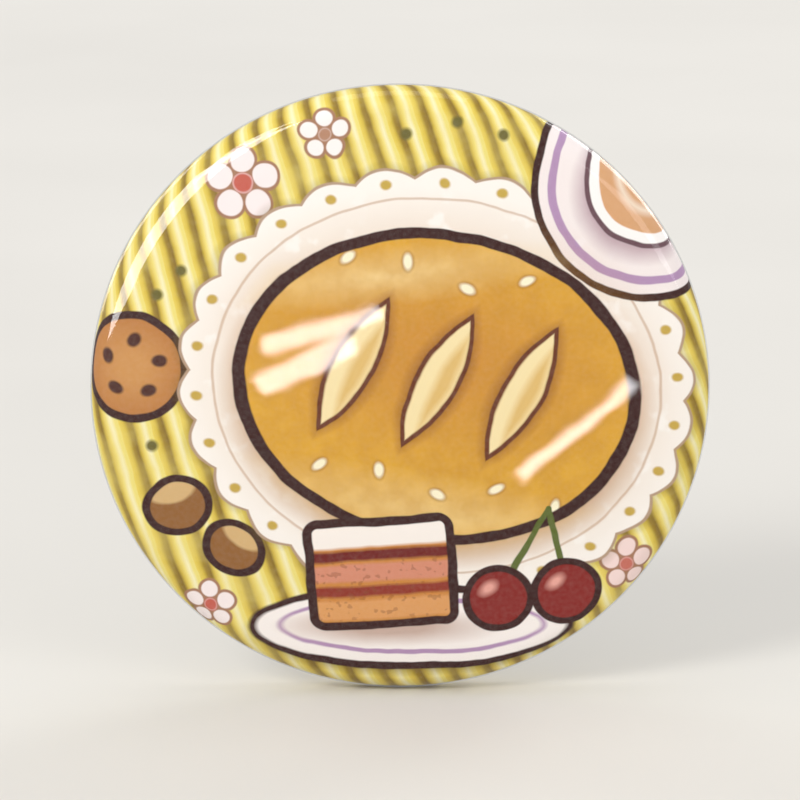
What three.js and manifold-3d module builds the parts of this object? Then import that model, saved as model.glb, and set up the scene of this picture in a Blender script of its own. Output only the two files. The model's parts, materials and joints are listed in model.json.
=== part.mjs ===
// A round tin button badge, 58 mm across, with a captive safety pin on its back.
// Millimetres. The picture faces -Y and its top is towards +Z. The origin is the middle of the back
// plate's rear face, and every round sheet is turned about the Y axis.
import * as THREE from "three";
import { mergeVertices } from "three/addons/utils/BufferGeometryUtils.js";
import Module from "manifold-3d";

const wasm = await Module();
wasm.setup();

// ---- driving dimensions -------------------------------------------------------------------------
const BADGE_DIAMETER = 58;
const DOME_RADIUS = 165; // of the sphere that the picture lies on
const CORNER_RADIUS = 2.6; // between the dome and the side
const SIDE_HEIGHT = 0.35; // straight part of the side
const CURL_RADIUS = 1.2; // of the rolled edge at the back
const RECESS_DEPTH = 3.0; // from the top of the rolled edge down to the back plate

const FILM_THICKNESS = 0.1;
const PAPER_THICKNESS = 0.12;
const TIN_THICKNESS = 0.25;
const SHEET_GAP = 0.02; // between sheets that lie on each other

const PLATE_CENTRE_RADIUS = 1.0; // a small flat at the origin, with nothing above it
const PLATE_FLOOR_RADIUS = 20.6;
const PLATE_WALL_ANGLE = 65; // degrees from the floor
const PLATE_WALL_RUN = 0.8;
const PLATE_BEND_RADIUS = 1.3; // at the foot and at the crown of the wall
const PLATE_LIP_ANGLE = 35; // degrees, of the slope from the crown down to the lip
const PLATE_LIP_RUN = 0.75;
const PLATE_LIP_RADIUS = 1.0; // of the bend at the foot of that slope
const PLATE_EDGE_RADIUS = 28.1; // of the lip's edge, inside the rolled edge of the shell

const WIRE_DIAMETER = 0.9;
const PIN_HEIGHT = 1.75; // of the fixed limb's centre line over the back plate
const SPINE_Z = 2.4; // the fixed limb lies above the middle, and the pointed arm below it
const SPINE_END_X = 16.4;
const COIL_X = -15;
const COIL_RADIUS = 1.7; // to the wire's centre line
const COIL_TURNS = 1.5;
const COIL_PITCH = 1.0;
const COIL_LEAD_START_X = -10; // where the fixed limb begins to bend down to the coil's first turn
const COIL_LEAD_END_X = -13.8;
const ARM_SPREAD = 4.6; // between the two limbs, measured at ARM_SPREAD_X
const ARM_SPREAD_X = 13;
const ARM_TIP_X = 16.2;
const POINT_LENGTH = 6; // tapered part of the arm
const ARM_GAP = 0.1; // between the arm's round root and the cut end of the coil

const CLASP_START_X = 9;
const CLASP_END_X = 17;
const CLASP_SHEET = 0.3;
const CLASP_INNER_RADIUS = 0.6; // of the folds, so the clear height inside is twice this
const CLASP_SLOT_START = 4.0; // from the fixed limb to the free edge of the sheet over the arm
const CLASP_LIP = 5.55; // from the fixed limb to the inside of the lip that holds the arm
const CLASP_LIP_RISE = 0.15; // of the lip's edge over the clasp's mid-plane

const BRIDGE_X = 6.5; // of each bridge's middle, on both sides of the plate's middle
const BRIDGE_WIDTH = 3.8;
const BRIDGE_HEIGHT = 2.53;
const BRIDGE_LEG_ANGLE = 62; // degrees
const BRIDGE_FOOT_RADIUS = 0.5;
const BRIDGE_CROWN_RADIUS = 1.2;
const BRIDGE_FOOT_RUN = 0.4; // flat end of each leg, let into the plate
const SHEAR_GAP = 0.1; // on each side of a bridge, where it is cut from the plate

const TURN_SEGMENTS = 48;
const WIRE_SIDES = 10;
const WIRE_STEPS = 62; // along the fixed limb and the coil
const COIL_POINTS_PER_TURN = 16;

const WIRE_RADIUS = WIRE_DIAMETER / 2;
const radians = THREE.MathUtils.degToRad;
const degrees = THREE.MathUtils.radToDeg;

// ---- outlines -----------------------------------------------------------------------------------

// Walks along straight runs and arcs in the (x, y) plane. A move is { run }, { reachX } or
// { turn, radius, steps }, with angles in degrees, positive to the left. Each station keeps its
// place and the normal on the walker's right.
function walk({ x, y, heading = 0 }, moves) {
  let angle = radians(heading);
  const stations = [];
  const mark = () => stations.push({ x, y, nx: Math.sin(angle), ny: -Math.cos(angle) });
  mark();
  for (const move of moves) {
    if (move.turn === undefined) {
      const run = move.run ?? (move.reachX - x) / Math.cos(angle);
      x += run * Math.cos(angle);
      y += run * Math.sin(angle);
      mark();
      continue;
    }
    const radius = Math.sign(move.turn) * move.radius;
    const centreX = x - radius * Math.sin(angle);
    const centreY = y + radius * Math.cos(angle);
    for (let i = 0; i < move.steps; i++) {
      angle += radians(move.turn) / move.steps;
      x = centreX + radius * Math.sin(angle);
      y = centreY - radius * Math.cos(angle);
      mark();
    }
  }
  return stations;
}

// The closed outline of a sheet between two lines, each a distance to the right of a walked line.
function sheetOutline(stations, first, second) {
  const offset = (distance) => (s) =>
    new THREE.Vector2(s.x + s.nx * distance, s.y + s.ny * distance);
  return [...stations.map(offset(first)), ...stations.map(offset(second)).reverse()];
}

// ---- solids -------------------------------------------------------------------------------------

function solidFrom(geometry) {
  const bare = geometry.clone();
  bare.deleteAttribute("normal");
  bare.deleteAttribute("uv");
  const merged = mergeVertices(bare, 1e-4);
  return new wasm.Manifold(
    new wasm.Mesh({
      numProp: 3,
      vertProperties: merged.attributes.position.array,
      triVerts: new Uint32Array(merged.index.array),
    }),
  );
}

function geometryFrom(solid) {
  const { vertProperties, triVerts } = solid.getMesh();
  const geometry = new THREE.BufferGeometry();
  geometry.setAttribute("position", new THREE.BufferAttribute(vertProperties, 3));
  geometry.setIndex(new THREE.BufferAttribute(triVerts, 1));
  geometry.computeVertexNormals();
  return geometry;
}

// Extrudes an outline along +X from startX. The outline's x runs towards -Z and its y towards +Y.
function extrudedAlongX(outline, startX, length) {
  const shape = new THREE.Shape(outline);
  const geometry = new THREE.ExtrudeGeometry(shape, { depth: length, bevelEnabled: false });
  return geometry.rotateY(Math.PI / 2).translate(startX, 0, 0);
}

function wireAlong(points) {
  const corners = Array.from({ length: WIRE_SIDES }, (_, i) => {
    const angle = (i / WIRE_SIDES) * 2 * Math.PI;
    return new THREE.Vector2(Math.cos(angle), Math.sin(angle)).multiplyScalar(WIRE_RADIUS);
  });
  const extrudePath = new THREE.CatmullRomCurve3(points);
  return new THREE.ExtrudeGeometry(new THREE.Shape(corners), { steps: WIRE_STEPS, extrudePath });
}

function namedMesh(name, geometry, material) {
  const mesh = new THREE.Mesh(geometry, material);
  mesh.name = name;
  return mesh;
}

// ---- materials ----------------------------------------------------------------------------------
const clearPlastic = new THREE.MeshStandardMaterial({
  color: "#fdfdf8",
  roughness: 0.08,
  transparent: true,
  opacity: 0.2,
});
const printedPaper = new THREE.MeshStandardMaterial({ color: "#e6b24e", roughness: 0.6 });
const shellTin = new THREE.MeshStandardMaterial({ color: "#b9b9b6", roughness: 0.4, metalness: 1 });
const plateTin = new THREE.MeshStandardMaterial({ color: "#cbcbc8", roughness: 0.3, metalness: 1 });
const pinNickel = new THREE.MeshStandardMaterial({ color: "#cfccc4", roughness: 0.2, metalness: 1 });
const armNickel = pinNickel.clone();
const claspNickel = new THREE.MeshStandardMaterial({ color: "#d6d4cd", roughness: 0.25, metalness: 1 });

// ---- the domed sheets: film, paper and shell ----------------------------------------------------

// The outside of the badge, from the middle of the dome, over the corner, down the side and round
// the curl. The curl has an odd number of steps, so that its top is a flat land.
function badgeStations() {
  const outerRadius = BADGE_DIAMETER / 2;
  const domeAngle = Math.asin((outerRadius - CORNER_RADIUS) / (DOME_RADIUS - CORNER_RADIUS));
  const domeDepth = DOME_RADIUS * (1 - Math.cos(domeAngle));
  const cornerDepth = CORNER_RADIUS * Math.cos(domeAngle);
  const frontY = RECESS_DEPTH - CURL_RADIUS - SIDE_HEIGHT - cornerDepth - domeDepth;
  return walk({ x: 0, y: frontY }, [
    { turn: degrees(domeAngle), radius: DOME_RADIUS, steps: 4 },
    { turn: 90 - degrees(domeAngle), radius: CORNER_RADIUS, steps: 4 },
    { run: SIDE_HEIGHT },
    { turn: 180, radius: CURL_RADIUS, steps: 5 },
  ]);
}

// Three sheets of one shape, each under the last.
function domedSheets() {
  const stations = badgeStations();
  const layers = [
    ["clear_film", FILM_THICKNESS, clearPlastic],
    ["printed_paper", PAPER_THICKNESS, printedPaper],
    ["front_shell", TIN_THICKNESS, shellTin],
  ];
  const sheets = [];
  let depth = 0;
  for (const [name, thickness, material] of layers) {
    const outline = sheetOutline(stations, -depth, -depth - thickness);
    sheets.push(namedMesh(name, new THREE.LatheGeometry(outline, TURN_SEGMENTS), material));
    depth += thickness + SHEET_GAP;
  }
  return sheets;
}

// ---- back plate ---------------------------------------------------------------------------------

// A dish: a flat floor, a wall, a rounded crown and a lip that ends inside the curl.
function plateDish() {
  const rearFace = walk({ x: 0, y: 0 }, [
    { reachX: PLATE_CENTRE_RADIUS },
    { reachX: PLATE_FLOOR_RADIUS },
    { turn: PLATE_WALL_ANGLE, radius: PLATE_BEND_RADIUS, steps: 3 },
    { run: PLATE_WALL_RUN },
    { turn: -PLATE_WALL_ANGLE - PLATE_LIP_ANGLE, radius: PLATE_BEND_RADIUS, steps: 5 },
    { run: PLATE_LIP_RUN },
    { turn: PLATE_LIP_ANGLE, radius: PLATE_LIP_RADIUS, steps: 2 },
    { reachX: PLATE_EDGE_RADIUS },
  ]);
  return new THREE.LatheGeometry(sheetOutline(rearFace, TIN_THICKNESS, 0), TURN_SEGMENTS);
}

// Half of a bridge's span, and the length of its straight leg.
function bridgeSpan() {
  const lean = radians(BRIDGE_LEG_ANGLE);
  const bends = BRIDGE_FOOT_RADIUS + BRIDGE_CROWN_RADIUS;
  const leg = (BRIDGE_HEIGHT - bends * (1 - Math.cos(lean))) / Math.sin(lean);
  return { leg, half: bends * Math.sin(lean) + leg * Math.cos(lean) };
}

// A strip of the plate pressed up into an arch over the fixed limb.
function bridge(middleX) {
  const { leg, half } = bridgeSpan();
  const foot = { turn: BRIDGE_LEG_ANGLE, radius: BRIDGE_FOOT_RADIUS, steps: 2 };
  const rearFace = walk({ x: -half - BRIDGE_FOOT_RUN, y: 0 }, [
    { run: BRIDGE_FOOT_RUN },
    foot,
    { run: leg },
    { turn: -2 * BRIDGE_LEG_ANGLE, radius: BRIDGE_CROWN_RADIUS, steps: 6 },
    { run: leg },
    foot,
    { run: BRIDGE_FOOT_RUN },
  ]);
  const outline = sheetOutline(rearFace, TIN_THICKNESS, 0);
  const strip = extrudedAlongX(outline, middleX - BRIDGE_WIDTH / 2, BRIDGE_WIDTH);
  return strip.translate(0, 0, SPINE_Z);
}

// The opening that a bridge's strip is lifted out of.
function bridgeWindow(middleX) {
  const width = BRIDGE_WIDTH + 2 * SHEAR_GAP;
  const window = new THREE.BoxGeometry(width, 4 * TIN_THICKNESS, 2 * bridgeSpan().half);
  return window.translate(middleX, 0, SPINE_Z);
}

function backPlate() {
  let plate = solidFrom(plateDish());
  for (const middleX of [-BRIDGE_X, BRIDGE_X]) {
    plate = plate.subtract(solidFrom(bridgeWindow(middleX)));
    plate = plate.add(solidFrom(bridge(middleX)));
  }
  return namedMesh("back_plate", geometryFrom(plate), plateTin);
}

// ---- safety pin, drawn about the fixed limb's centre line ---------------------------------------

const coilHeight = COIL_TURNS * COIL_PITCH;
const armRoot = new THREE.Vector3(COIL_X, coilHeight / 2, -2 * COIL_RADIUS);

// The fixed limb, its lead down to the coil, and the coil as far as the arm's root.
function pinSpine() {
  const points = [];
  for (const x of [SPINE_END_X, (SPINE_END_X + COIL_LEAD_START_X) / 2, COIL_LEAD_START_X]) {
    points.push(new THREE.Vector3(x, 0, 0));
  }
  const leadPoints = 4;
  for (let i = 1; i <= leadPoints; i++) {
    const share = i / leadPoints;
    const x = THREE.MathUtils.lerp(COIL_LEAD_START_X, COIL_LEAD_END_X, share);
    const drop = (coilHeight / 2) * (1 - Math.cos(Math.PI * share)) / 2;
    points.push(new THREE.Vector3(x, -drop, 0));
  }
  const lastAngle = COIL_TURNS * 2 * Math.PI - (WIRE_RADIUS + ARM_GAP) / COIL_RADIUS;
  const coilPoints = Math.round(COIL_TURNS * COIL_POINTS_PER_TURN);
  for (let i = 0; i <= coilPoints; i++) {
    const angle = (lastAngle * i) / coilPoints;
    const x = COIL_X - COIL_RADIUS * Math.sin(angle);
    const y = (COIL_PITCH * angle) / (2 * Math.PI) - coilHeight / 2;
    const z = COIL_RADIUS * (Math.cos(angle) - 1);
    points.push(new THREE.Vector3(x, y, z));
  }
  return namedMesh("pin_spine", wireAlong(points), pinNickel);
}

// The pointed arm, turned about its own length, with a round root that the hinge line crosses.
function pinArm() {
  const slope = (ARM_TIP_X - COIL_X) / (ARM_SPREAD_X - COIL_X);
  const atSpread = new THREE.Vector3(ARM_SPREAD_X, 0, -ARM_SPREAD);
  const tip = new THREE.Vector3().lerpVectors(armRoot, atSpread, slope);
  const length = armRoot.distanceTo(tip);
  const outline = walk({ x: 0, y: -WIRE_RADIUS }, [
    { turn: 90, radius: WIRE_RADIUS, steps: 3 },
    { run: length - POINT_LENGTH },
  ]).map((s) => new THREE.Vector2(s.x, s.y));
  outline.push(new THREE.Vector2(0.8 * WIRE_RADIUS, length - 0.55 * POINT_LENGTH));
  outline.push(new THREE.Vector2(0.42 * WIRE_RADIUS, length - 0.2 * POINT_LENGTH));
  outline.push(new THREE.Vector2(0, length));
  const arm = namedMesh("pin_arm", new THREE.LatheGeometry(outline, WIRE_SIDES), armNickel);
  arm.position.copy(armRoot);
  const along = tip.clone().sub(armRoot).normalize();
  arm.quaternion.setFromUnitVectors(new THREE.Vector3(0, 1, 0), along);
  return arm;
}

// A folded sheet round the end of the fixed limb, open towards +Y over the arm, with a lip outside
// the arm and a wall past both tips.
function pinClasp() {
  const folded = walk({ x: CLASP_SLOT_START, y: CLASP_INNER_RADIUS, heading: 180 }, [
    { run: CLASP_SLOT_START },
    { turn: 180, radius: CLASP_INNER_RADIUS, steps: 6 },
    { run: CLASP_LIP - CLASP_INNER_RADIUS },
    { turn: 90, radius: CLASP_INNER_RADIUS, steps: 3 },
    { run: CLASP_LIP_RISE },
  ]);
  const outerRadius = CLASP_INNER_RADIUS + CLASP_SHEET;
  const flat = { run: CLASP_LIP - CLASP_INNER_RADIUS };
  const round = { turn: 180, radius: outerRadius, steps: 6 };
  const wall = walk({ x: flat.run, y: outerRadius, heading: 180 }, [flat, round, flat, round]);
  const foldedLength = CLASP_END_X - CLASP_START_X - CLASP_SHEET / 2;
  const foldedOutline = sheetOutline(folded, CLASP_SHEET, 0);
  const wallOutline = wall.slice(1).map((s) => new THREE.Vector2(s.x, s.y));
  const sleeve = extrudedAlongX(foldedOutline, CLASP_START_X, foldedLength);
  const endWall = extrudedAlongX(wallOutline, CLASP_END_X - CLASP_SHEET, CLASP_SHEET);
  const clasp = solidFrom(sleeve).add(solidFrom(endWall));
  return namedMesh("pin_clasp", geometryFrom(clasp), claspNickel);
}

function safetyPin() {
  const pin = new THREE.Group();
  pin.position.set(0, PIN_HEIGHT, SPINE_Z);
  pin.add(pinSpine(), pinClasp(), pinArm());
  return pin;
}

const badge = new THREE.Group();
badge.add(...domedSheets(), backPlate(), safetyPin());

export default badge;
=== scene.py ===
"""The looks of a 58 mm button badge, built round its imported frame: metres, +Z up, picture side towards -Y."""

import json
import math

import bmesh
import bpy
from mathutils import Matrix, Vector, noise


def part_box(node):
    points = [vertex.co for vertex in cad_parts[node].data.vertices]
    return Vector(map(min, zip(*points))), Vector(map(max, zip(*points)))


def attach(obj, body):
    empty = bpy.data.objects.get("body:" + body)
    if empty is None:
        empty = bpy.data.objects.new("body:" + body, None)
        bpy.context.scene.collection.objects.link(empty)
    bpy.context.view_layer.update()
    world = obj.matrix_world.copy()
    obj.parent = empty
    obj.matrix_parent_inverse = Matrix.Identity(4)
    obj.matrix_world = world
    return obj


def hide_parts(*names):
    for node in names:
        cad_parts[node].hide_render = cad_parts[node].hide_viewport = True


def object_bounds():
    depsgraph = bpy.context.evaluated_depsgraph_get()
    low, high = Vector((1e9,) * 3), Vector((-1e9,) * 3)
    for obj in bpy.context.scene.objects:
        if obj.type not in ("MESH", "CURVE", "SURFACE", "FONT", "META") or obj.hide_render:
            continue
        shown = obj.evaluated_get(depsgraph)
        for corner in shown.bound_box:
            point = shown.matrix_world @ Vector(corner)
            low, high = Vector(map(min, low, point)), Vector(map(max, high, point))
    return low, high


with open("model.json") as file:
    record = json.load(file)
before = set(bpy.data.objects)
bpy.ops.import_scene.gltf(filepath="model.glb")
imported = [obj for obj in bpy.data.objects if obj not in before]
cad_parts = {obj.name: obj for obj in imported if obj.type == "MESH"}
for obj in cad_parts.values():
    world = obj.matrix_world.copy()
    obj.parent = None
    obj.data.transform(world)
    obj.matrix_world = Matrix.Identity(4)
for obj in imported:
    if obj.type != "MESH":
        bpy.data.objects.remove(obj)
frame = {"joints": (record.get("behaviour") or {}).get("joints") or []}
cad_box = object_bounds()

# ---- dimensions ---------------------------------------------------------------------------------
MM = 0.001
FULL_TURN = 2 * math.pi

film_low, film_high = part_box("clear_film")
OUTER_RADIUS = (film_high.x - film_low.x) / 2
FRONT_Y = film_low.y
DOME_RADIUS = 165 * MM
CORNER_RADIUS = 2.6 * MM
SIDE_HEIGHT = 0.35 * MM
CURL_RADIUS = 1.2 * MM
TUCK_DEPTH = 0.36 * MM  # how far the sheets run on from the curl, down to the plate's lip

FILM_THICKNESS = 0.1 * MM
PAPER_THICKNESS = 0.12 * MM
TIN_THICKNESS = 0.25 * MM
SHEET_GAP = 0.02 * MM

PLEATS = 84
PLEAT_HEIGHT = 0.24 * MM
PLEAT_START = math.radians(100)  # how far round from the dome's face the pleats begin
PLEAT_SPAN = math.radians(120)  # over which they grow to their full height
FILM_WAVE = 0.010 * MM
FILM_WAVE_LENGTH = 5.5 * MM

joints = {joint["name"]: joint for joint in frame["joints"]}
SPINE = Vector(joints["pin_swing"]["pos_m"])
ARM_ROOT = Vector(joints["pin_open"]["pos_m"])
WIRE_RADIUS = 0.45 * MM
COIL_RADIUS = (SPINE.z - ARM_ROOT.z) / 2
COIL_PITCH = 1.0 * MM
COIL_TURNS = 1.5
COIL_DROP = ARM_ROOT.y - SPINE.y  # from the fixed limb down to the coil's first turn


# ---- outlines -----------------------------------------------------------------------------------
def walk(x, y, heading, moves):
    """Stations (x, y, normal x, normal y, length walked) along runs and arcs, with the normal on the right.

    A move is ("run", length), ("reach", x) or ("turn", degrees, radius, steps), positive to the left.
    """
    angle = math.radians(heading)
    walked = 0.0
    stations = []

    def mark():
        stations.append((x, y, math.sin(angle), -math.cos(angle), walked))

    mark()
    for kind, *sizes in moves:
        if kind == "turn":
            turn, radius, steps = sizes
            signed = math.copysign(radius, turn)
            centre_x = x - signed * math.sin(angle)
            centre_y = y + signed * math.cos(angle)
            for _ in range(steps):
                angle += math.radians(turn) / steps
                walked += abs(math.radians(turn)) * radius / steps
                x = centre_x + signed * math.sin(angle)
                y = centre_y - signed * math.cos(angle)
                mark()
            continue
        run = sizes[0] if kind == "run" else (sizes[0] - x) / math.cos(angle)
        x += run * math.cos(angle)
        y += run * math.sin(angle)
        walked += run
        mark()
    return stations


def badge_stations():
    """The outside of the badge, from the middle of the dome round to the end of the tucked edge."""
    dome = math.asin((OUTER_RADIUS - CORNER_RADIUS) / (DOME_RADIUS - CORNER_RADIUS))
    return walk(0, FRONT_Y, 0, [
        ("turn", math.degrees(dome), DOME_RADIUS, 26),
        ("turn", 90 - math.degrees(dome), CORNER_RADIUS, 12),
        ("run", SIDE_HEIGHT),
        ("turn", 180, CURL_RADIUS, 20),
        ("run", TUCK_DEPTH / 2),
        ("run", TUCK_DEPTH / 2),
    ])


# ---- meshes -------------------------------------------------------------------------------------
def make_piece(name, vertices, faces, material, sharp=35):
    """A mesh object with outward normals, smooth but for edges sharper than the given angle."""
    mesh = bpy.data.meshes.new(name)
    mesh.from_pydata(vertices, [], faces)
    piece = bpy.data.objects.new(name, mesh)
    bpy.context.scene.collection.objects.link(piece)
    mesh.materials.append(material)
    finish_mesh(mesh, sharp)
    return piece


def finish_mesh(mesh, sharp):
    edit = bmesh.new()
    edit.from_mesh(mesh)
    bmesh.ops.recalc_face_normals(edit, faces=edit.faces)
    for face in edit.faces:
        face.smooth = True
    for edge in edit.edges:
        edge.smooth = len(edge.link_faces) == 2 and edge.calc_face_angle(0) < math.radians(sharp)
    edit.to_mesh(mesh)
    edit.free()


def turned(name, outline, segments, material, shift=None):
    """A closed solid turned about Y. outline is (radius, y, normal r, normal y, place) from axis to axis.

    shift(station, angle) moves a point along its normal, and place is kept on each point, in badge
    radii, as the spot on the flat sheet that the point comes from.
    """
    vertices, places = [], []

    def add(station, angle):
        radius, y, normal_r, normal_y, place = station
        along = shift(station, angle) if shift else 0.0
        radius += normal_r * along
        y += normal_y * along
        vertices.append((radius * math.sin(angle), y, radius * math.cos(angle)))
        spread = place / OUTER_RADIUS
        places.append((spread * math.sin(angle), spread * math.cos(angle), 0.0))

    add(outline[0], 0.0)
    add(outline[-1], 0.0)
    for station in outline[1:-1]:
        for j in range(segments):
            add(station, FULL_TURN * j / segments)
    rings = len(outline) - 2
    faces = []
    for j in range(segments):
        after = (j + 1) % segments
        faces.append((0, 2 + j, 2 + after))
        last = 2 + (rings - 1) * segments
        faces.append((1, last + after, last + j))
        for i in range(rings - 1):
            first = 2 + i * segments
            second = first + segments
            faces.append((first + j, second + j, second + after, first + after))
    piece = make_piece(name, vertices, faces, material)
    attribute = piece.data.attributes.new("sheet_place", "FLOAT_VECTOR", "POINT")
    attribute.data.foreach_set("vector", [number for place in places for number in place])
    return piece


def layer(stations, outer, inner):
    """The closed outline of a sheet between two depths under the stations."""
    def at(depth):
        return [(x - nx * depth, y - ny * depth, nx, ny, length) for x, y, nx, ny, length in stations]
    return at(outer) + at(inner)[::-1]


def swept(name, points, radii, sides, material):
    """A round wire along points, with a radius at each, closed at both ends."""
    vertices, faces = [], []
    tangent = (points[1] - points[0]).normalized()
    across = tangent.orthogonal().normalized()
    for i, point in enumerate(points):
        ahead = points[min(i + 1, len(points) - 1)] - points[max(i - 1, 0)]
        turn = tangent.rotation_difference(ahead.normalized())
        across = turn @ across
        tangent = ahead.normalized()
        aside = tangent.cross(across)
        for j in range(sides):
            angle = FULL_TURN * j / sides
            out = across * math.cos(angle) + aside * math.sin(angle)
            vertices.append(point + out * radii[i])
    for i in range(len(points) - 1):
        for j in range(sides):
            a = i * sides + j
            b = i * sides + (j + 1) % sides
            faces.append((a, b, b + sides, a + sides))
    faces.append(tuple(range(sides))[::-1])
    faces.append(tuple(range(len(vertices) - sides, len(vertices))))
    return make_piece(name, vertices, faces, material, sharp=50)


def applied(piece):
    """The piece's mesh with its modifiers applied to it."""
    graph = bpy.context.evaluated_depsgraph_get()
    mesh = bpy.data.meshes.new_from_object(piece.evaluated_get(graph))
    piece.modifiers.clear()
    piece.data = mesh
    return piece


def combined(piece, tool, operation):
    """Cuts the tool from the piece, or joins it on, and removes the tool."""
    modifier = piece.modifiers.new(operation, "BOOLEAN")
    modifier.operation = operation
    modifier.solver = "EXACT"
    modifier.object = tool
    bpy.context.view_layer.update()
    applied(piece)
    bpy.data.objects.remove(tool)
    return piece


# ---- node helpers -------------------------------------------------------------------------------
def rgb(code):
    """A linear colour from an sRGB code such as #e6b24e."""
    shares = [int(code[i:i + 2], 16) / 255 for i in (1, 3, 5)]
    linear = [s / 12.92 if s <= 0.04045 else ((s + 0.055) / 1.055) ** 2.4 for s in shares]
    return (*linear, 1.0)


def new_material(name):
    material = bpy.data.materials.new(name)
    material.use_nodes = True
    return material, material.node_tree, material.node_tree.nodes["Principled BSDF"]


def connect(tree, value, socket):
    """Feeds a socket with a Field, another socket or a plain value."""
    if isinstance(value, Field):
        value = value.socket
    if isinstance(value, bpy.types.NodeSocket):
        tree.links.new(value, socket)
    else:
        socket.default_value = value


class Field:
    """A number that varies over a surface: an output socket that can be reckoned with."""

    def __init__(self, tree, socket):
        self.tree = tree
        self.socket = socket

    def maths(self, operation, *others, clamp=False):
        """A Math node with this number first and the others after it."""
        node = self.tree.nodes.new("ShaderNodeMath")
        node.operation = operation
        node.use_clamp = clamp
        for socket, value in zip(node.inputs, (self, *others)):
            connect(self.tree, value, socket)
        return Field(self.tree, node.outputs[0])

    def __add__(self, other):
        return self.maths("ADD", other)

    def __sub__(self, other):
        return self.maths("SUBTRACT", other)

    def __rsub__(self, other):
        return self.maths("MULTIPLY_ADD", -1.0, other)

    def __mul__(self, other):
        return self.maths("MULTIPLY", other)

    def __abs__(self):
        return self.maths("ABSOLUTE")

    def __neg__(self):
        return self.maths("MULTIPLY", -1.0)

    def clamped(self):
        return self.maths("ADD", 0.0, clamp=True)

    def over(self, other):
        """Where both shapes are, as the larger of two distances."""
        return self.maths("MAXIMUM", other)

    def joined(self, other, blend=0.0):
        """Where either shape is, with the corner between them rounded."""
        if blend:
            return self.maths("SMOOTH_MIN", other, blend)
        return self.maths("MINIMUM", other)

    def between(self, low, high, low_value=0.0, high_value=1.0):
        """Goes from low_value to high_value as the number goes from low to high."""
        node = self.tree.nodes.new("ShaderNodeMapRange")
        for socket, value in zip(node.inputs, (self, low, high, low_value, high_value)):
            connect(self.tree, value, socket)
        return Field(self.tree, node.outputs[0])


def vector_maths(tree, operation, *values, output=0):
    node = tree.nodes.new("ShaderNodeVectorMath")
    node.operation = operation
    for socket, value in zip(node.inputs, values):
        connect(tree, value, socket)
    return node.outputs[output]


def length_of(tree, vector):
    return Field(tree, vector_maths(tree, "LENGTH", vector, output="Value"))


def noise_field(tree, vector, scale, detail=2.0, roughness=0.5, stretch=None):
    if stretch:
        vector = vector_maths(tree, "MULTIPLY", vector, stretch)
    node = tree.nodes.new("ShaderNodeTexNoise")
    node.inputs["Scale"].default_value = scale
    node.inputs["Detail"].default_value = detail
    node.inputs["Roughness"].default_value = roughness
    tree.links.new(vector, node.inputs["Vector"])
    return Field(tree, node.outputs[0])


def mixed(tree, share, first, second):
    node = tree.nodes.new("ShaderNodeMix")
    node.data_type = "RGBA"
    connect(tree, share, node.inputs["Factor"])
    connect(tree, first, node.inputs["A"])
    connect(tree, second, node.inputs["B"])
    return node.outputs["Result"]


def ramp(tree, field, stops):
    node = tree.nodes.new("ShaderNodeValToRGB")
    tree.links.new(field.socket, node.inputs[0])
    elements = node.color_ramp.elements
    while len(elements) < len(stops):
        elements.new(0.5)
    for element, (position, code) in zip(elements, stops):
        element.position = position
        element.color = rgb(code)
    return node.outputs["Color"]


def bumped(tree, height, distance, strength=1.0):
    """A normal from a height field, where distance is the height in metres of a step from 0 to 1."""
    node = tree.nodes.new("ShaderNodeBump")
    node.inputs["Strength"].default_value = strength
    node.inputs["Distance"].default_value = distance
    connect(tree, height, node.inputs["Height"])
    return node.outputs["Normal"]


def object_place(tree):
    return tree.nodes.new("ShaderNodeTexCoord").outputs["Object"]


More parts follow.
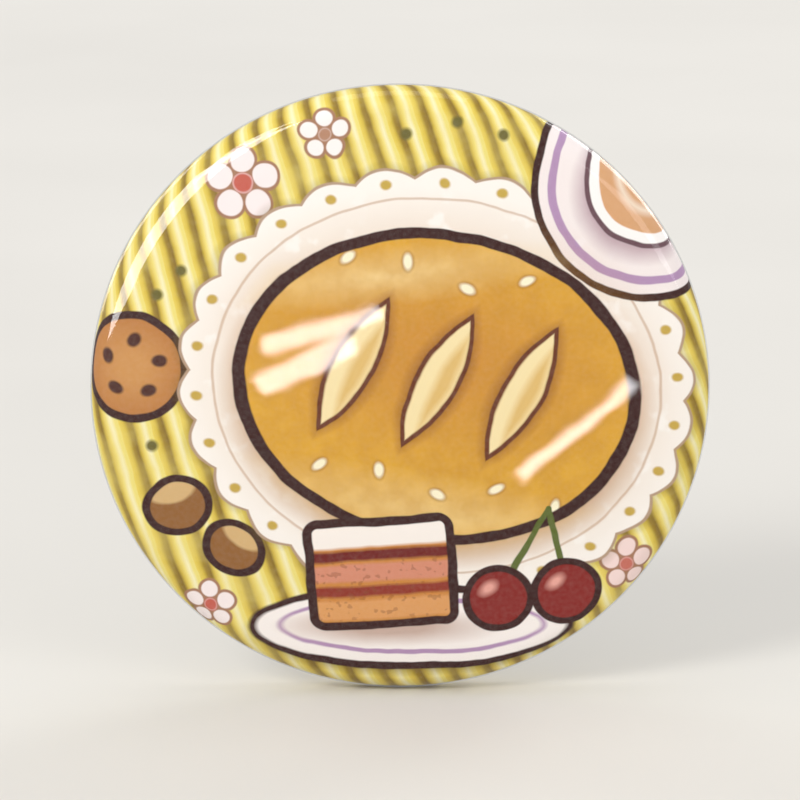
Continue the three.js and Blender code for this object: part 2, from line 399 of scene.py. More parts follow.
# ---- the printed picture ------------------------------------------------------------------------
class Drawing:
    """A picture painted in layers. Places and sizes are in badge radii, x to the right and y up."""

    EDGE = 0.0045  # width of a painted edge's soft border

    def __init__(self, tree, place, ground):
        self.tree = tree
        self.place = place
        self.colour = ground

    def local(self, at, turn=0, size=(1, 1)):
        """The place seen from a spot, turned left by degrees and scaled."""
        node = self.tree.nodes.new("ShaderNodeMapping")
        node.vector_type = "TEXTURE"
        node.inputs["Location"].default_value = (*at, 0)
        node.inputs["Rotation"].default_value = (0, 0, math.radians(turn))
        node.inputs["Scale"].default_value = (*size, 1)
        self.tree.links.new(self.place, node.inputs["Vector"])
        return node.outputs[0]

    def disc(self, at, radius):
        apart = vector_maths(self.tree, "DISTANCE", self.place, (*at, 0), output="Value")
        return Field(self.tree, apart) - radius

    def oval(self, at, radii, turn=0):
        return (length_of(self.tree, self.local(at, turn, radii)) - 1) * min(radii)

    def block(self, at, half, corner, turn=0):
        """A rectangle with round corners. half is its half width and height, corners included."""
        folded = vector_maths(self.tree, "ABSOLUTE", self.local(at, turn))
        inner = (half[0] - corner, half[1] - corner, 1)
        past = vector_maths(self.tree, "SUBTRACT", folded, inner)
        outside = vector_maths(self.tree, "MAXIMUM", past, (0, 0, 0))
        return length_of(self.tree, outside) - corner

    def leaf(self, at, half, turn):
        """A pointed leaf, where two equal discs overlap. half is its half length and half width."""
        radius = (half[0] ** 2 + half[1] ** 2) / (2 * half[1])
        lean = math.radians(turn + 90)
        step = Vector((math.cos(lean), math.sin(lean))) * (radius - half[1])
        return self.disc(Vector(at) + step, radius).over(self.disc(Vector(at) - step, radius))

    def stroke(self, start, end, width, end_width=None):
        """A straight brush stroke that may taper."""
        along = Vector((*end, 0)) - Vector((*start, 0))
        offset = vector_maths(self.tree, "SUBTRACT", self.place, (*start, 0))
        scaled = tuple(along / along.length_squared)
        share = Field(self.tree, vector_maths(self.tree, "DOT_PRODUCT", offset, scaled, output="Value"))
        share = share.clamped()
        foot = self.tree.nodes.new("ShaderNodeVectorMath")
        foot.operation = "SCALE"
        foot.inputs[0].default_value = along
        connect(self.tree, share, foot.inputs["Scale"])
        apart = vector_maths(self.tree, "DISTANCE", offset, foot.outputs[0], output="Value")
        end_width = width if end_width is None else end_width
        return Field(self.tree, apart) - share.between(0, 1, width / 2, end_width / 2)

    def bow(self, at, radius, middle, spread, width):
        """A brush stroke along a circle, spread to both sides of the middle direction, in degrees."""
        local = self.local(at, middle)
        sideways = vector_maths(self.tree, "ABSOLUTE", local)
        sideways = vector_maths(self.tree, "MULTIPLY", sideways, (0, 1, 0))
        forward = vector_maths(self.tree, "MULTIPLY", local, (1, 0, 0))
        folded = vector_maths(self.tree, "ADD", sideways, forward)
        lean = math.radians(spread)
        end = (radius * math.cos(lean), radius * math.sin(lean), 0)
        to_end = Field(self.tree, vector_maths(self.tree, "DISTANCE", folded, end, output="Value"))
        to_ring = abs(length_of(self.tree, folded) - radius)
        across = (-math.sin(lean), math.cos(lean), 0)
        side = Field(self.tree, vector_maths(self.tree, "DOT_PRODUCT", folded, across, output="Value"))
        past = side.maths("GREATER_THAN", 0.0)
        return past.between(0, 1, to_ring, to_end) - width / 2

    def mask(self, distance, soft):
        """From 1 well inside a shape to 0 well outside it, over a border as wide as soft."""
        return distance.maths("MULTIPLY_ADD", -1 / soft, 0.5, clamp=True)

    def paint(self, distance, colour, soft=EDGE, strength=1.0):
        """Fills where the distance is below nought. A soft border fades the fill out."""
        share = self.mask(distance, soft)
        if strength != 1.0:
            share = share * strength
        self.colour = mixed(self.tree, share, self.colour, rgb(colour))

    def line(self, distance, width, colour):
        """Draws the outline of a shape, centred on its edge."""
        self.paint(abs(distance) - width / 2, colour)

    def rim(self, at, radii, width, colour):
        """An even line round an oval. line() would be too wide at the ends of a flat one."""
        outside = self.oval(at, (radii[0] + width / 2, radii[1] + width / 2))
        inside = self.oval(at, (radii[0] - width / 2, radii[1] - width / 2))
        self.paint(outside.over(-inside), colour)

    def shape(self, distance, fill, edge, width):
        """A filled shape with an outline."""
        self.paint(distance, fill)
        self.line(distance, width, edge)


INK = "#3a1006"
GOLD = "#e0a934"
LILAC = "#b692b8"
STALK = "#5d6a24"
BAND_SPACING = 0.094  # from one band of the striped cloth to the next, in badge radii


def around(at, distance, degrees):
    """The spot at a distance and a direction from another."""
    angle = math.radians(degrees)
    return at[0] + distance * math.cos(angle), at[1] + distance * math.sin(angle)


def striped_ground(tree, place):
    """A striped cloth: pale yellow with slanting olive bands."""
    parts = tree.nodes.new("ShaderNodeSeparateXYZ")
    tree.links.new(place, parts.inputs[0])
    x = Field(tree, parts.outputs[0])
    y = Field(tree, parts.outputs[1])
    across = x * 0.92 + y * 0.34 + x * y * 0.10
    wobble = noise_field(tree, place, 2.2)
    share = ((across + wobble * 0.03) * (1 / BAND_SPACING)).maths("FRACT")
    bands = ramp(tree, share, [
        (0.00, "#ecd45e"),
        (0.14, "#d9bd44"),
        (0.26, "#a08226"),
        (0.40, "#8a6e20"),
        (0.50, "#d5b844"),
        (0.62, "#efdc78"),
        (0.78, "#f8f0c4"),
        (0.90, "#efdf7e"),
    ])
    wear = noise_field(tree, place, 5.0, detail=3.0)
    return mixed(tree, wear.between(0.45, 0.75, 0.0, 0.55), bands, rgb("#ecd97a"))


TRAY_AT = (0.12, 0.04)  # middle of the doily and of the bun on it
TRAY_TURN = -10


def draw_doily(art):
    """A white paper doily with a scalloped edge and a hole in each scallop."""
    scallops = 26
    radii = (0.80, 0.68)
    mean_radius = sum(radii) / 2
    local = art.local(TRAY_AT, TRAY_TURN, radii)
    reach = length_of(art.tree, local)
    parts = art.tree.nodes.new("ShaderNodeSeparateXYZ")
    art.tree.links.new(local, parts.inputs[0])
    angle = Field(art.tree, parts.outputs[1]).maths("ARCTAN2", parts.outputs[0])
    bulge = abs((angle * (scallops / 2)).maths("COSINE")) * 0.035
    edge = (reach - 1) * mean_radius - bulge
    art.paint(edge, "#7d6420", soft=0.07, strength=0.7)
    art.paint(edge, "#fbf4ec")
    turns = angle * (scallops / FULL_TURN) + 0.5
    sideways = (turns.maths("FRACT") - 0.5) * (FULL_TURN * mean_radius / scallops)
    outward = (reach - 0.975) * mean_radius
    from_hole = (sideways * sideways + outward * outward).maths("SQRT")
    art.paint(from_hole - 0.017, "#c9a94a", soft=0.008)
    art.line((reach - 0.905) * mean_radius, 0.008, "#dcc7b6")
    art.line(edge, 0.010, "#b79a80")


def draw_bun(art):
    """A golden bun on the doily, with three scored cuts and a few seeds."""
    bun = art.oval(TRAY_AT, (0.64, 0.50), TRAY_TURN)
    x, y = TRAY_AT
    art.paint(art.oval((x, y - 0.05), (0.66, 0.51), TRAY_TURN), "#c39a72", soft=0.09, strength=0.9)
    art.paint(bun, GOLD)
    tints = (
        ((0.02, 0.10), (0.46, 0.24), TRAY_TURN, "#cd8a33", 0.30, 0.75),
        ((-0.02, -0.42), (0.50, 0.08), TRAY_TURN, "#f2d594", 0.14, 0.7),
        ((-0.16, 0.37), (0.26, 0.04), 6, "#f8dfa2", 0.12, 0.8),
    )
    for shift, radii, turn, colour, soft, strength in tints:
        tint = art.oval((x + shift[0], y + shift[1]), radii, turn)
        art.paint(tint.over(bun), colour, soft, strength)
    mottle = noise_field(art.tree, art.place, 11.0, detail=3.0)
    art.paint((0.50 - mottle).over(bun), "#c88f2c", soft=0.30, strength=0.45)
    draw_cuts(art)
    draw_seeds(art)
    art.line(bun, 0.034, INK)


def draw_cuts(art):
    """Three slanting cuts in the bun's crust, with paler crumb inside."""
    x, y = TRAY_AT
    slant = 62
    for step in (-1, 0, 1):
        spot = (x + 0.27 * step, y + 0.03 - 0.05 * step)
        shaded = (spot[0] + 0.020, spot[1] - 0.008)
        art.paint(art.leaf(spot, (0.250, 0.085), slant), "#8f5418", soft=0.05, strength=0.8)
        art.paint(art.leaf(spot, (0.225, 0.058), slant), "#f7e3ae", soft=0.012)
        art.paint(art.leaf(shaded, (0.170, 0.026), slant), "#e3bd72", soft=0.03)
        art.line(art.leaf(spot, (0.235, 0.066), slant), 0.014, "#6b3312")


def draw_seeds(art):
    """Two uneven rows of seeds, above and below the cuts."""
    x, y = TRAY_AT
    for row, count in ((0.36, 4), (-0.32, 5)):
        for i in range(count):
            across = (i - (count - 1) / 2) * 0.19
            up = row - 0.035 * i + 0.07 + 0.03 * math.sin(2.4 * i)
            turn = 40 + 55 * i
            art.paint(art.oval((x + across, y + up), (0.030, 0.019), turn), "#8f5418", 0.012, 0.7)
            art.paint(art.oval((x + across, y + up), (0.025, 0.014), turn), "#fdf3d2", 0.008)


def draw_cup(art):
    """A cup of milky tea on its saucer, seen from above and cut off by the badge's edge."""
    at = (0.80, 0.70)
    art.shape(art.disc(at, 0.37), "#f6ebe8", INK, 0.024)
    art.line(art.disc(at, 0.315), 0.026, LILAC)
    art.paint(art.disc((at[0] - 0.02, at[1] - 0.03), 0.215), "#c7aeb4", soft=0.06)
    art.shape(art.disc(at, 0.205), "#fdf8f4", "#6b4a52", 0.016)
    art.paint(art.disc(at, 0.165), "#dba676")
    art.paint(art.bow(at, 0.085, 215, 120, 0.030), "#f5dfc8", soft=0.03)


def draw_biscuit(art):
    """A round biscuit with dark chips, cut off by the badge's left edge."""
    at = (-0.86, 0.10)
    art.shape(art.disc(at, 0.17), "#bd7d3e", INK, 0.026)
    art.paint(art.disc(at, 0.10), "#d39a58", soft=0.12, strength=0.8)
    for chip in range(5):
        spot = around(at, 0.09, 72 * chip + 15)
        art.paint(art.oval(spot, (0.026, 0.020), 50 * chip), "#4d2212", soft=0.008)


def draw_nuts(art):
    """Two hazelnuts with pale caps, lying side by side at the lower left."""
    for at, size, turn in (((-0.72, -0.36), 0.105, 20), ((-0.54, -0.50), 0.095, -35)):
        nut = art.oval(at, (size, size * 0.86), turn)
        art.paint(nut, "#94622c")
        cap = around(at, size * 0.55, turn + 90)
        art.paint(art.oval(cap, (size * 0.75, size * 0.42), turn).over(nut), "#d6b27a", soft=0.010)
        art.line(nut, 0.024, INK)


def draw_cake(art):
    """A slice of layer cake standing on a white plate."""
    art.paint(art.oval((0.04, -0.79), (0.51, 0.15)), "#6f581c", soft=0.03, strength=0.6)
    art.paint(art.oval((0.04, -0.77), (0.52, 0.14)), "#fbf3ee")
    art.rim((0.04, -0.77), (0.52, 0.14), 0.026, INK)
    art.rim((0.04, -0.765), (0.43, 0.095), 0.016, LILAC)
    middle, turn = Vector((-0.06, -0.58)), 4
    art.paint(art.oval((-0.04, -0.77), (0.26, 0.05)), "#cbb0a2", soft=0.05)
    slice_edge = art.block(middle, (0.23, 0.18), 0.035, turn)
    art.paint(slice_edge, "#d08a3c")
    layers = (
        (0.135, 0.040, "#fbf2ea"),
        (0.066, 0.018, "#741a10"),
        (0.006, 0.030, "#d98f72"),
        (-0.058, 0.018, "#94321c"),
        (-0.124, 0.034, "#e0a060"),
    )
    up = Vector((-math.sin(math.radians(turn)), math.cos(math.radians(turn))))
    for height, half, colour in layers:
        band = art.block(middle + up * height, (0.30, half), 0.010, turn)
        art.paint(band.over(slice_edge), colour, soft=0.012)
    crumbs = noise_field(art.tree, art.place, 40.0, detail=1.0)
    sponge = art.block(middle - up * 0.055, (0.30, 0.105), 0.010, turn).over(slice_edge)
    art.paint((0.63 - crumbs).over(sponge), "#8a4a22", soft=0.04, strength=0.5)
    art.line(slice_edge, 0.030, INK)


def draw_cherries(art):
    """A pair of dark cherries on one stalk, beside the cake."""
    fork = (0.48, -0.36)
    art.paint(art.stroke((0.34, -0.62), fork, 0.024, 0.018), STALK)
    art.paint(art.stroke((0.54, -0.60), fork, 0.024, 0.018), STALK)
    for at in ((0.32, -0.67), (0.54, -0.65)):
        art.shape(art.disc(at, 0.105), "#8a2016", INK, 0.024)
        glint = (at[0] - 0.035, at[1] + 0.035)
        art.paint(art.oval(glint, (0.030, 0.018), 40), "#e9a89a", soft=0.02)


def blossom(art, at, size, petals, heart):
    """A flower of five round petals, where size is from its middle to a petal's middle."""
    flower = art.disc(at, size * 0.5)
    for petal in range(5):
        spot = around(at, size, 72 * petal + 20)
        flower = flower.joined(art.disc(spot, size * 0.60))
    art.shape(flower, petals, "#a87a5c", 0.010)
    art.paint(art.disc(at, size * 0.42), heart, soft=0.012)


def draw_scatter(art):
    """Small blossoms and seeds strewn over the cloth."""
    seeds = ((0.02, 0.86), (0.18, 0.90), (0.33, 0.86), (-0.70, 0.42), (-0.78, 0.34), (-0.80, -0.16))
    for spot in seeds:
        art.paint(art.disc(spot, 0.018), "#6f662a", soft=0.012)
    blossom(art, (-0.50, 0.70), 0.075, "#f9ecea", "#c9604f")
    blossom(art, (-0.24, 0.86), 0.052, "#fbf2ee", "#b7876a")
    blossom(art, (-0.62, -0.70), 0.055, "#f9ecea", "#c9604f")
    blossom(art, (0.74, -0.56), 0.058, "#f6dcd6", "#c9705f")


def print_material():
    """Ink on coated paper. The picture is drawn on the flat sheet, so it runs on round the edge."""
    material, tree, shader = new_material("printed_picture")
    attribute = tree.nodes.new("ShaderNodeAttribute")
    attribute.attribute_name = "sheet_place"
    flat = attribute.outputs["Vector"]
    tremble = tree.nodes.new("ShaderNodeTexNoise")
    tremble.inputs["Scale"].default_value = 7.0
    tree.links.new(flat, tremble.inputs["Vector"])
    sway = vector_maths(tree, "SUBTRACT", tremble.outputs["Color"], (0.5, 0.5, 0.5))
    sway = vector_maths(tree, "MULTIPLY", sway, (0.02, 0.02, 0))
    place = vector_maths(tree, "ADD", flat, sway)
    art = Drawing(tree, place, striped_ground(tree, place))
    draw_scatter(art)
    draw_biscuit(art)
    draw_nuts(art)
    draw_doily(art)
    draw_cup(art)
    draw_bun(art)
    draw_cake(art)
    draw_cherries(art)
    grain = noise_field(tree, flat, 60.0, detail=3.0)
    inked = mixed(tree, grain.between(0.35, 0.75, 0.0, 0.03), art.colour, rgb("#ffffff"))
    tree.links.new(inked, shader.inputs["Base Color"])
    shader.inputs["Roughness"].default_value = 0.6
    shader.inputs["Specular IOR Level"].default_value = 0.1
    tree.links.new(bumped(tree, grain, 0.002 * MM), shader.inputs["Normal"])
    return material


# ---- other materials ----------------------------------------------------------------------------
def film_material():
    """Clear PET: its outer face mirrors the room by its Fresnel share, and the rest passes through."""
    material, tree, shader = new_material("clear_pet_film")
    tree.nodes.remove(shader)
    clear = tree.nodes.new("ShaderNodeBsdfTransparent")
    gloss = tree.nodes.new("ShaderNodeBsdfGlossy")
    gloss.inputs["Roughness"].default_value = 0.05
    fresnel = tree.nodes.new("ShaderNodeFresnel")
    fresnel.inputs["IOR"].default_value = 1.5
    inside = tree.nodes.new("ShaderNodeNewGeometry").outputs["Backfacing"]
    mirrored = Field(tree, fresnel.outputs[0]) * (1 - Field(tree, inside))
    mix = tree.nodes.new("ShaderNodeMixShader")
    tree.links.new(mirrored.socket, mix.inputs["Fac"])
    tree.links.new(clear.outputs[0], mix.inputs[1])
    tree.links.new(gloss.outputs[0], mix.inputs[2])
    tree.links.new(mix.outputs[0], tree.nodes["Material Output"].inputs["Surface"])
    ripples = noise_field(tree, object_place(tree), 260.0, detail=1.0)
    tree.links.new(bumped(tree, ripples, 0.004 * MM), gloss.inputs["Normal"])
    return material


def tinplate_material(name, tones, rough):
    """Rolled tinplate: fine lines one way, faint cloudy patches and a few hairline scratches."""
    material, tree, shader = new_material(name)
    place = object_place(tree)
    lines = noise_field(tree, place, 1400.0, detail=4.0, roughness=0.75, stretch=(0.025, 1, 1))
    clouds = noise_field(tree, place, 170.0, detail=4.0)
    turned_place = tree.nodes.new("ShaderNodeMapping")
    turned_place.inputs["Rotation"].default_value = (0, math.radians(35), 0)
    tree.links.new(place, turned_place.inputs["Vector"])
    hairlines = noise_field(tree, turned_place.outputs[0], 1700.0, detail=1.0, stretch=(0.016, 1, 1))
    scratches = hairlines.between(0.68, 0.73)
    shade = clouds.between(0.30, 0.75, 0.0, 0.45) + lines.between(0.30, 0.70, 0.0, 0.55)
    dark, light = tones
    tone = mixed(tree, shade, rgb(dark), rgb(light))
    tree.links.new(mixed(tree, scratches * 0.35, tone, rgb("#f0f0ee")), shader.inputs["Base Color"])
    dull = lines.between(0.3, 0.7, -0.05, 0.06) + clouds.between(0.35, 0.7, -0.04, 0.06) + rough
    tree.links.new(dull.socket, shader.inputs["Roughness"])
    shader.inputs["Metallic"].default_value = 1.0
    tree.links.new(bumped(tree, lines * 0.6 - scratches * 0.5, 0.006 * MM), shader.inputs["Normal"])
    return material


def nickel_material(name, rough):
    """Bright nickel plate with faint draw lines and a warm cast."""
    material, tree, shader = new_material(name)
    place = object_place(tree)
    lines = noise_field(tree, place, 1500.0, detail=3.0, stretch=(0.04, 1, 1))
    clouds = noise_field(tree, place, 300.0, detail=2.0)
    dull = lines.between(0.3, 0.7, -0.04, 0.05) + clouds.between(0.35, 0.7, -0.03, 0.05) + rough
    tree.links.new(dull.socket, shader.inputs["Roughness"])
    tone = mixed(tree, clouds.between(0.3, 0.7), rgb("#d6d0c4"), rgb("#e6e3dc"))
    tree.links.new(tone, shader.inputs["Base Color"])
    shader.inputs["Metallic"].default_value = 1.0
    tree.links.new(bumped(tree, lines, 0.002 * MM), shader.inputs["Normal"])
    return material


def floor_material():
    material, tree, shader = new_material("pale_floor")
    mottle = noise_field(tree, object_place(tree), 9.0, detail=3.0)
    tone = mixed(tree, mottle.between(0.3, 0.7), rgb("#d3d0ca"), rgb("#d9d6d0"))
    tree.links.new(tone, shader.inputs["Base Color"])
    shader.inputs["Roughness"].default_value = 0.8
    shader.inputs["Specular IOR Level"].default_value = 0.0
    return material


# ---- the badge's sheets -------------------------------------------------------------------------
def pleat_height(station, angle):
    """How far the wrapped sheets stand off the tin behind the badge, in uneven radial pleats."""
    facing = math.atan2(station[2], -station[3]) % FULL_TURN
    share = min(max((facing - PLEAT_START) / PLEAT_SPAN, 0.0), 1.0)
    share = share * share * (3 - 2 * share)
    drift = 2.6 * math.sin(3 * angle + 0.7) + 1.9 * math.sin(5 * angle + 2.1) + 1.1 * math.sin(11 * angle)
    crest = max(0.0, math.cos(PLEATS * angle + drift)) ** 2
    uneven = 0.55 + 0.45 * math.sin(9 * angle + 1.3) * math.sin(4 * angle)
    return PLEAT_HEIGHT * share * crest * uneven


def film_height(station, angle):
    """Pleats behind, and very slight waves over the dome."""
    spot = Vector((station[4] * math.sin(angle), station[4] * math.cos(angle), 0.0)) / FILM_WAVE_LENGTH
    waves = noise.noise(spot) + 0.35 * noise.noise(spot * 2.6)
    return pleat_height(station, angle) + FILM_WAVE * waves


def add_sheets():
    stations = badge_stations()
    paper_top = FILM_THICKNESS + SHEET_GAP
    paper_base = paper_top + PAPER_THICKNESS
    shell_top = paper_base + SHEET_GAP
    shell_base = shell_top + TIN_THICKNESS
    film = turned("film", layer(stations, 0, FILM_THICKNESS), 512, film_material(), film_height)
    paper = turned("picture", layer(stations, paper_top, paper_base), 512, print_material(), pleat_height)
    tin = tinplate_material("dull_tinplate", ("#a3a3a0", "#c6c6c3"), 0.34)
    shell = turned("shell", layer(stations, shell_top, shell_base), 192, tin)
    for piece, node in ((film, "clear_film"), (paper, "printed_paper"), (shell, "front_shell")):
        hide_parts(node)
        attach(piece, "badge")


# ---- back plate ---------------------------------------------------------------------------------
BRIDGE_X = 6.5 * MM
BRIDGE_WIDTH = 3.8 * MM
BRIDGE_HEIGHT = 2.53 * MM
BRIDGE_LEAN = 62  # degrees
BRIDGE_FOOT = 0.5 * MM
BRIDGE_CROWN = 1.2 * MM
BRIDGE_LET_IN = 0.4 * MM
SHEAR_GAP = 0.1 * MM
PLATE_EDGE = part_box("back_plate")[1].x


def plate_stations():
    """The plate's rear face, with a shallow stamped ring in its floor."""
    return walk(0, 0, 0, [
        ("reach", 1.0 * MM),
        ("reach", 18.0 * MM),
        ("turn", 12, 0.6 * MM, 2),
        ("run", 0.35 * MM),
        ("turn", -24, 0.8 * MM, 5),
        ("run", 0.35 * MM),
        ("turn", 12, 0.6 * MM, 2),
        ("reach", 20.6 * MM),
        ("turn", 65, 1.3 * MM, 9),
        ("run", 0.8 * MM),
        ("turn", -100, 1.3 * MM, 14),
        ("run", 0.75 * MM),
        ("turn", 35, 1.0 * MM, 5),
        ("reach", PLATE_EDGE),
    ])


def bridge_outline():
    """The closed section of a bridge across the fixed limb, and half its span."""
    lean = math.radians(BRIDGE_LEAN)
    bends = BRIDGE_FOOT + BRIDGE_CROWN
    leg = (BRIDGE_HEIGHT - bends * (1 - math.cos(lean))) / math.sin(lean)
    half = bends * math.sin(lean) + leg * math.cos(lean)
    foot = ("turn", BRIDGE_LEAN, BRIDGE_FOOT, 6)
    rear = walk(-half - BRIDGE_LET_IN, 0, 0, [
        ("run", BRIDGE_LET_IN), foot, ("run", leg),
        ("turn", -2 * BRIDGE_LEAN, BRIDGE_CROWN, 18),
        ("run", leg), foot, ("run", BRIDGE_LET_IN),
    ])
    return layer(rear, -TIN_THICKNESS, 0), half


def bridge(outline, middle_x, material):
    """A strip of the plate lifted over the pin, with its sheared edges slightly rounded."""
    count = len(outline)
    vertices = []
    for x in (middle_x - BRIDGE_WIDTH / 2, middle_x + BRIDGE_WIDTH / 2):
        vertices += [(x, point[1], SPINE.z + point[0]) for point in outline]
    faces = [(i, (i + 1) % count, (i + 1) % count + count, i + count) for i in range(count)]
    faces.append(tuple(range(count)))
    faces.append(tuple(range(count, 2 * count))[::-1])
    strip = make_piece("bridge", vertices, faces, material)
    bevel = strip.modifiers.new("shear", "BEVEL")
    bevel.width = 0.045 * MM
    bevel.segments = 2
    bevel.angle_limit = math.radians(60)
    return applied(strip)


def window(half, middle_x, material):
    """The block that cuts a bridge's opening."""
    cutter = bmesh.new()
    bmesh.ops.create_cube(cutter, size=1)
    size = (BRIDGE_WIDTH + 2 * SHEAR_GAP, 4 * TIN_THICKNESS, 2 * half)
    bmesh.ops.transform(cutter, matrix=Matrix.Diagonal((*size, 1)), verts=cutter.verts)
    bmesh.ops.translate(cutter, vec=(middle_x, 0, SPINE.z), verts=cutter.verts)
    mesh = bpy.data.meshes.new("window")
    cutter.to_mesh(mesh)
    cutter.free()
    mesh.materials.append(material)
    block = bpy.data.objects.new("window", mesh)
    bpy.context.scene.collection.objects.link(block)
    return block


def add_back_plate():
    material = tinplate_material("bright_tinplate", ("#b4b4b1", "#dededb"), 0.25)
    outline = layer(plate_stations(), -TIN_THICKNESS, 0)
    plate = turned("back_plate_sheet", outline, 256, material)
    section, half = bridge_outline()
    for middle_x in (-BRIDGE_X, BRIDGE_X):
        combined(plate, window(half, middle_x, material), "DIFFERENCE")
        combined(plate, bridge(section, middle_x, material), "UNION")
    finish_mesh(plate.data, 30)
    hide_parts("back_plate")
    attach(plate, "badge")


# ---- safety pin ---------------------------------------------------------------------------------
SPINE_END_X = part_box("pin_spine")[1].x
LEAD_START_X = -10 * MM
LEAD_END_X = -13.8 * MM
SPREAD_POINT = Vector((13 * MM, SPINE.y, SPINE.z - 4.6 * MM))  # the arm's centre line passes here
ARM_TIP_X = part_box("pin_arm")[1].x
POINT_LENGTH = 6 * MM


def spine_points():
    """The fixed limb from the clasp, its lead down to the coil, and the coil round to the arm's root."""
    points = []
    for i in range(25):
        points.append(Vector((SPINE_END_X + (LEAD_START_X - SPINE_END_X) * i / 24, SPINE.y, SPINE.z)))
    for i in range(1, 17):
        share = i / 16
        drop = COIL_DROP * (1 - math.cos(math.pi * share)) / 2
        x = LEAD_START_X + (LEAD_END_X - LEAD_START_X) * share
        points.append(Vector((x, SPINE.y - drop, SPINE.z)))
    steps = 96
    for i in range(steps + 1):
        angle = COIL_TURNS * FULL_TURN * i / steps
        x = ARM_ROOT.x - COIL_RADIUS * math.sin(angle)
        y = SPINE.y - COIL_DROP + COIL_PITCH * angle / FULL_TURN
        z = SPINE.z + COIL_RADIUS * (math.cos(angle) - 1)
        points.append(Vector((x, y, z)))
    return points


def add_spine(material):
    points = spine_points()
    radii = [WIRE_RADIUS] * len(points)
    start = points[0]
    ahead = (points[1] - start).normalized()
    for back, share in ((0.10, 0.97), (0.18, 0.86), (0.21, 0.70)):
        points.insert(0, start - ahead * back * MM)
        radii.insert(0, WIRE_RADIUS * share)
    spine = swept("spine_wire", points, radii, 24, material)
    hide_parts("pin_spine")
    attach(spine, "safety_pin")


def add_arm(material):
    """The pointed limb: a round root on the hinge line, a straight run and a ground point."""
    along = (SPREAD_POINT - ARM_ROOT).normalized()
    length = (ARM_TIP_X - ARM_ROOT.x) / along.x
    points, radii = [], []
    for i in range(8):
        angle = math.radians(84 - 12 * i)
        points.append(ARM_ROOT - along * WIRE_RADIUS * math.sin(angle))
        radii.append(WIRE_RADIUS * math.cos(angle))
    for i in range(1, 21):
        points.append(ARM_ROOT + along * (length - POINT_LENGTH) * i / 20)
        radii.append(WIRE_RADIUS)
    for i in range(1, 25):
        share = i / 24
        points.append(ARM_ROOT + along * (length - POINT_LENGTH * (1 - share)))
        radii.append(max(WIRE_RADIUS * (1 - share ** 1.9), 0.012 * MM))
    arm = swept("arm_wire", points, radii, 24, material)
    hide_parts("pin_arm")
    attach(arm, "pin_arm")


CLASP_SHEET = 0.3 * MM
CLASP_FOLD = 0.9 * MM  # outside radius of the clasp's folds
CLASP_SLOT = 4.0 * MM  # from the fixed limb to the free edge of the sheet over the arm
CLASP_LIP = 5.55 * MM  # from the fixed limb to the inside of the lip
CLASP_LIP_RISE = 0.15 * MM
CLASP_NOSE = 2.2 * MM  # length of the rounded end


def clasp_section():
    """The clasp's outside, from the free edge over the arm, round the fixed limb, to the lip's edge."""
    flat = CLASP_LIP - (CLASP_FOLD - CLASP_SHEET)
    stations = walk(CLASP_SLOT, CLASP_FOLD, 180, [
        *[("run", CLASP_SLOT / 6)] * 6,
        ("turn", 180, CLASP_FOLD, 12),
        *[("run", flat / 7)] * 7,
        ("turn", 90, CLASP_FOLD, 6),
        ("run", CLASP_LIP_RISE),
    ])
    return [(x, y) for x, y, *_ in stations]


def add_clasp(material):
    """A folded sheet that narrows to a round nose, open over the arm."""
    low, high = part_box("pin_clasp")
    section = clasp_section()
    centre_z = (low.z + high.z) / 2
    stops = [low.x + (high.x - CLASP_NOSE - low.x) * i / 6 for i in range(7)]
    stops += [high.x - CLASP_NOSE * (1 - math.sin(math.radians(12 * i))) for i in range(1, 8)]
    vertices = []
    for x in stops:
        past = max(0.0, (x - (high.x - CLASP_NOSE)) / CLASP_NOSE)
        shrink = math.sqrt(1 - past ** 2)
        width = 0.62 + 0.38 * shrink
        height = 0.35 + 0.65 * shrink ** 0.7
        for across, up in section:
            z = centre_z + (SPINE.z - across - centre_z) * width
            vertices.append((x, SPINE.y + up * height, z))
    count = len(section)
    faces = []
    for i in range(len(stops) - 1):
        for j in range(count - 1):
            a = i * count + j
            faces.append((a, a + 1, a + 1 + count, a + count))
    last = (len(stops) - 1) * count
    faces.append(tuple(range(last, last + count)))
    clasp = make_piece("clasp_sheet", vertices, faces, material)
    solid = clasp.modifiers.new("sheet", "SOLIDIFY")
    solid.thickness = CLASP_SHEET
    solid.offset = -1
    bevel = clasp.modifiers.new("edges", "BEVEL")
    bevel.width = 0.06 * MM
    bevel.segments = 2
    bevel.angle_limit = math.radians(50)
    applied(clasp)
    finish_mesh(clasp.data, 40)
    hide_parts("pin_clasp")
    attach(clasp, "safety_pin")


def add_safety_pin():
    wire = nickel_material("nickel_wire", 0.16)
    add_spine(wire)
    add_arm(wire)
    add_clasp(nickel_material("nickel_sheet", 0.22))


# ---- stage, light and camera --------------------------------------------------------------------
CAMERA_ELEVATION = 14  # degrees
CAMERA_LENS = 200.0
CAMERA_DISTANCE = 0.415
LOOK_AT = Vector((0, 0, -0.0006))
GLOSS_RADIANCE = 22.0
GLOSS_DISTANCE = 0.60


def add_floor():
    """A plain floor under the badge, left out of reflections so that the gloss lamps show in the film."""
    mesh = bpy.data.meshes.new("floor")
    reach = 3.0
    level = cad_box[0][2]
    mesh.from_pydata(
        [(-reach, -reach, level), (reach, -reach, level), (reach, reach, level), (-reach, reach, level)],
        [], [(0, 1, 2, 3)])
    mesh.materials.append(floor_material())
    floor = bpy.data.objects.new("floor", mesh)
    bpy.context.scene.collection.objects.link(floor)
    floor.visible_glossy = False


def aimed(thing, place, target):
    thing.location = place
    thing.rotation_euler = (Vector(target) - Vector(place)).to_track_quat("-Z", "Y").to_euler()
    bpy.context.scene.collection.objects.link(thing)


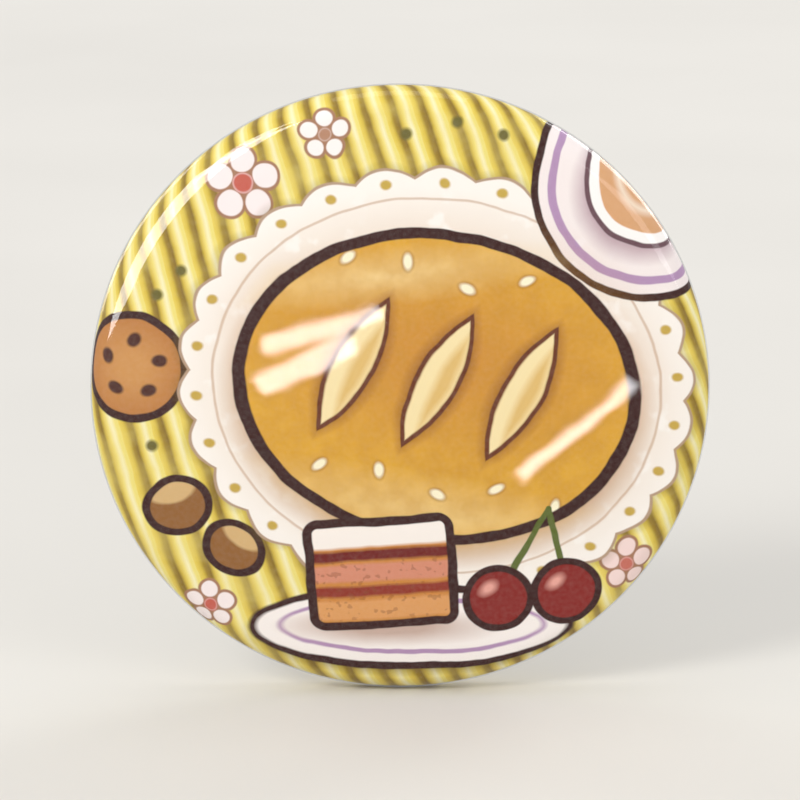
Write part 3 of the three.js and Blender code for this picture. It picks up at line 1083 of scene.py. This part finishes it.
def add_light(name, place, size, power, colour=(1, 1, 1), target=(0, 0, 0)):
    light = bpy.data.lights.new(name, "AREA")
    light.shape = "RECTANGLE"
    light.size, light.size_y = size
    light.energy = power
    light.color = colour
    lamp = bpy.data.objects.new(name, light)
    lamp.visible_camera = False
    aimed(lamp, place, target)
    return lamp


def camera_place():
    lean = math.radians(CAMERA_ELEVATION)
    return LOOK_AT + Vector((0, -math.cos(lean), math.sin(lean))) * CAMERA_DISTANCE


def mirrored_place(x, z):
    """Where a lamp stands that the camera sees mirrored in the dome at x, z, and that spot."""
    centre = Vector((0, FRONT_Y + DOME_RADIUS, 0))
    spot = Vector((x, centre.y - math.sqrt(DOME_RADIUS ** 2 - x * x - z * z), z))
    normal = (spot - centre).normalized()
    view = (camera_place() - spot).normalized()
    return spot + (2 * normal.dot(view) * normal - view) * GLOSS_DISTANCE, spot


def add_gloss(name, spot, length, width, lean):
    """A strip lamp whose mirror image lies on the dome at spot (x, z), leaning up to the right by degrees."""
    place, target = mirrored_place(spot[0] * OUTER_RADIUS, spot[1] * OUTER_RADIUS)
    power = GLOSS_RADIANCE * math.pi * length * width
    lamp = add_light(name, place, (length, width), power, target=target)
    lamp.rotation_euler.rotate_axis("Z", math.radians(lean))
    lamp.visible_diffuse = False


def add_lights():
    """Soft studio lamps, and strips and a side panel that only act in reflections."""
    add_light("key", (-0.55, -0.60, 0.60), (0.32, 0.32), 3.8, (1, 0.985, 0.96))
    add_light("fill", (0.70, -0.55, 0.30), (0.40, 0.40), 1.3, (0.97, 0.985, 1))
    add_light("top", (0.0, 0.10, 0.90), (0.50, 0.40), 0.9)
    add_light("back", (0.55, 0.65, 0.35), (0.40, 0.40), 2.2)
    add_light("back_left", (-0.60, 0.55, 0.20), (0.25, 0.45), 1.1)
    panel = add_light("side_panel", (-0.515, -0.55, 0.23), (0.57, 0.60), 14.4)
    panel.visible_diffuse = False
    add_gloss("upper_left_gloss", (-0.25, 0.235), 0.110, 0.014, 18)
    add_gloss("lower_left_gloss", (-0.31, 0.120), 0.095, 0.022, 28)
    add_gloss("right_gloss", (0.565, -0.10), 0.135, 0.013, 42)


def add_room():
    """A soft white surround, dimmer where it is mirrored, so that glossy pieces keep their contrast."""
    world = bpy.data.worlds.new("room")
    world.use_nodes = True
    tree = world.node_tree
    background = tree.nodes["Background"]
    background.inputs["Color"].default_value = (0.96, 0.965, 0.98, 1)
    mirrored = Field(tree, tree.nodes.new("ShaderNodeLightPath").outputs["Is Glossy Ray"])
    tree.links.new(mirrored.between(0, 1, 0.80, 0.50).socket, background.inputs["Strength"])
    bpy.context.scene.world = world


def add_camera():
    camera = bpy.data.cameras.new("camera")
    camera.lens = CAMERA_LENS
    camera.clip_start = 0.01
    thing = bpy.data.objects.new("camera", camera)
    aimed(thing, camera_place(), LOOK_AT)
    bpy.context.scene.camera = thing


add_camera()
add_sheets()
add_back_plate()
add_safety_pin()
add_floor()
add_lights()
add_room()
bpy.context.scene.view_settings.view_transform = "Standard"
